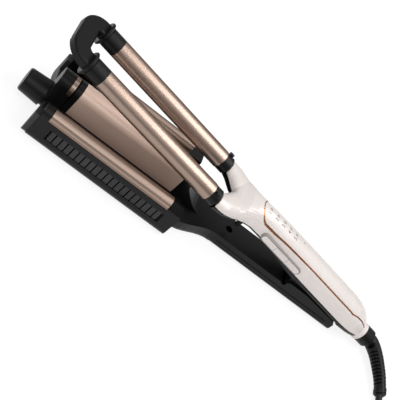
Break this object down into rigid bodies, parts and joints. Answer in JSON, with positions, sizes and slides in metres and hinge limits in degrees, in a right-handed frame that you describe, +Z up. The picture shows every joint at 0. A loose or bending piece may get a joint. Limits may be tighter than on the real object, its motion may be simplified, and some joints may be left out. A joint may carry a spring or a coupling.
{
  "type": "hair waver",
  "caption": "Corded hair waver with two upper barrels on a forked handle that close onto a wide jaw with side barrels and a centre barrel lifted by a dial.",
  "frame": {"origin": "middle of the tool's outline on the surface it lies on, the cord left out", "axes": "+X towards the handle's cord end, +Y towards the far side, +Z up; the jaw's flat bottom lies on z = 0"},
  "size_m": [0.5679, 0.1394, 0.0957],
  "materials": {
    "pearl_shell": "pearl white satin lacquer",
    "rose_metal": "satin rose gold",
    "black_plastic": "fine matte charcoal",
    "grey_plastic": "matte dark grey",
    "copper_trim": "polished copper plating",
    "steel_parts": "plain machined",
    "brass_parts": "plain turned",
    "board": "green glass-fibre board",
    "window": "translucent white",
    "cord_rubber": "smooth flexible cord sheath",
    "wire": "silicone wire"
  },
  "bodies": {
    "handle": {"upper_shell": "pearl_shell", "lower_housing": "black_plastic", "inlay_rim": "copper_trim", "inlay_panel": "pearl_shell", "indicator_windows": "window", "button_bezel": "pearl_shell", "button_board": "board", "control_board": "board", "hinge_chassis": "black_plastic", "hinge_pin": "steel_parts", "hinge_spring": "steel_parts", "housing_screws": "steel_parts", "guide_post": "black_plastic", "near_barrel": "rose_metal", "far_barrel": "rose_metal", "near_heater": "steel_parts", "far_heater": "steel_parts", "near_root_collar": "black_plastic", "far_root_collar": "black_plastic", "near_tip_collar": "black_plastic", "far_tip_collar": "black_plastic", "tip_bridge": "black_plastic", "bridge_plate": "grey_plastic", "end_collar": "pearl_shell", "contact_carrier": "black_plastic", "strain_relief": "cord_rubber", "cord_run": "cord_rubber", "cord_coil": "cord_rubber", "cord_tie": "grey_plastic", "cord_tail": "cord_rubber", "plug_body": "cord_rubber", "plug_pins": "steel_parts"},
    "minus_key": {"minus_button": "pearl_shell"},
    "power_key": {"power_button": "pearl_shell"},
    "plus_key": {"plus_button": "pearl_shell"},
    "swivel": {"swivel_collar": "black_plastic", "swivel_shaft": "brass_parts"},
    "jaw": {"jaw_shell": "black_plastic", "jaw_deck": "black_plastic", "tip_block": "black_plastic", "front_plate": "grey_plastic", "tower_trim": "rose_metal", "near_side_barrel": "rose_metal", "far_side_barrel": "rose_metal", "near_side_heater": "steel_parts", "far_side_heater": "steel_parts", "arm_shell": "black_plastic", "arm_cover": "black_plastic", "arm_screws": "steel_parts", "hinge_bushes": "black_plastic", "jaw_wiring": "wire", "detent_spring": "steel_parts", "near_vent": "grey_plastic", "far_vent": "grey_plastic"},
    "lift": {"centre_barrel": "rose_metal", "centre_ring": "black_plastic", "centre_heater": "steel_parts", "lift_frame": "grey_plastic"},
    "dial": {"dial_knob": "black_plastic", "dial_shaft": "steel_parts"}
  },
  "joints": [
    {"name": "jaw_hinge", "type": "hinge", "parent": "handle", "child": "jaw", "pos_m": [0.1111, 0, 0.0155], "axis": [0, 1, 0], "range_deg": [0, 11.2], "stiffness_Nm_per_rad": 2.2, "springref_deg": -14.9},
    {"name": "dial_turn", "type": "hinge", "parent": "jaw", "child": "dial", "pos_m": [-0.1889, 0, 0.0128], "axis": [-1, 0, 0], "range_deg": [0, 135]},
    {"name": "centre_lift", "type": "slide", "parent": "jaw", "child": "lift", "axis": [0, 0, -1], "range_m": [0, 0.009]},
    {"name": "minus_press", "type": "slide", "parent": "handle", "child": "minus_key", "axis": [0, 1, 0], "range_m": [0, 0.0008], "stiffness_N_per_m": 900, "springref_m": -0.0006},
    {"name": "power_press", "type": "slide", "parent": "handle", "child": "power_key", "axis": [0, 1, 0], "range_m": [0, 0.0008], "stiffness_N_per_m": 900, "springref_m": -0.0006},
    {"name": "plus_press", "type": "slide", "parent": "handle", "child": "plus_key", "axis": [0, 1, 0], "range_m": [0, 0.0008], "stiffness_N_per_m": 900, "springref_m": -0.0006},
    {"name": "cord_swivel", "type": "hinge", "parent": "handle", "child": "swivel", "pos_m": [0.18798, 0, 0.01251], "axis": [0.981, 0, -0.1942], "continuous": true}
  ],
  "couplings": [
    {"joint": "dial_turn", "follows": "centre_lift", "rad_per_m": 261.8}
  ]
}
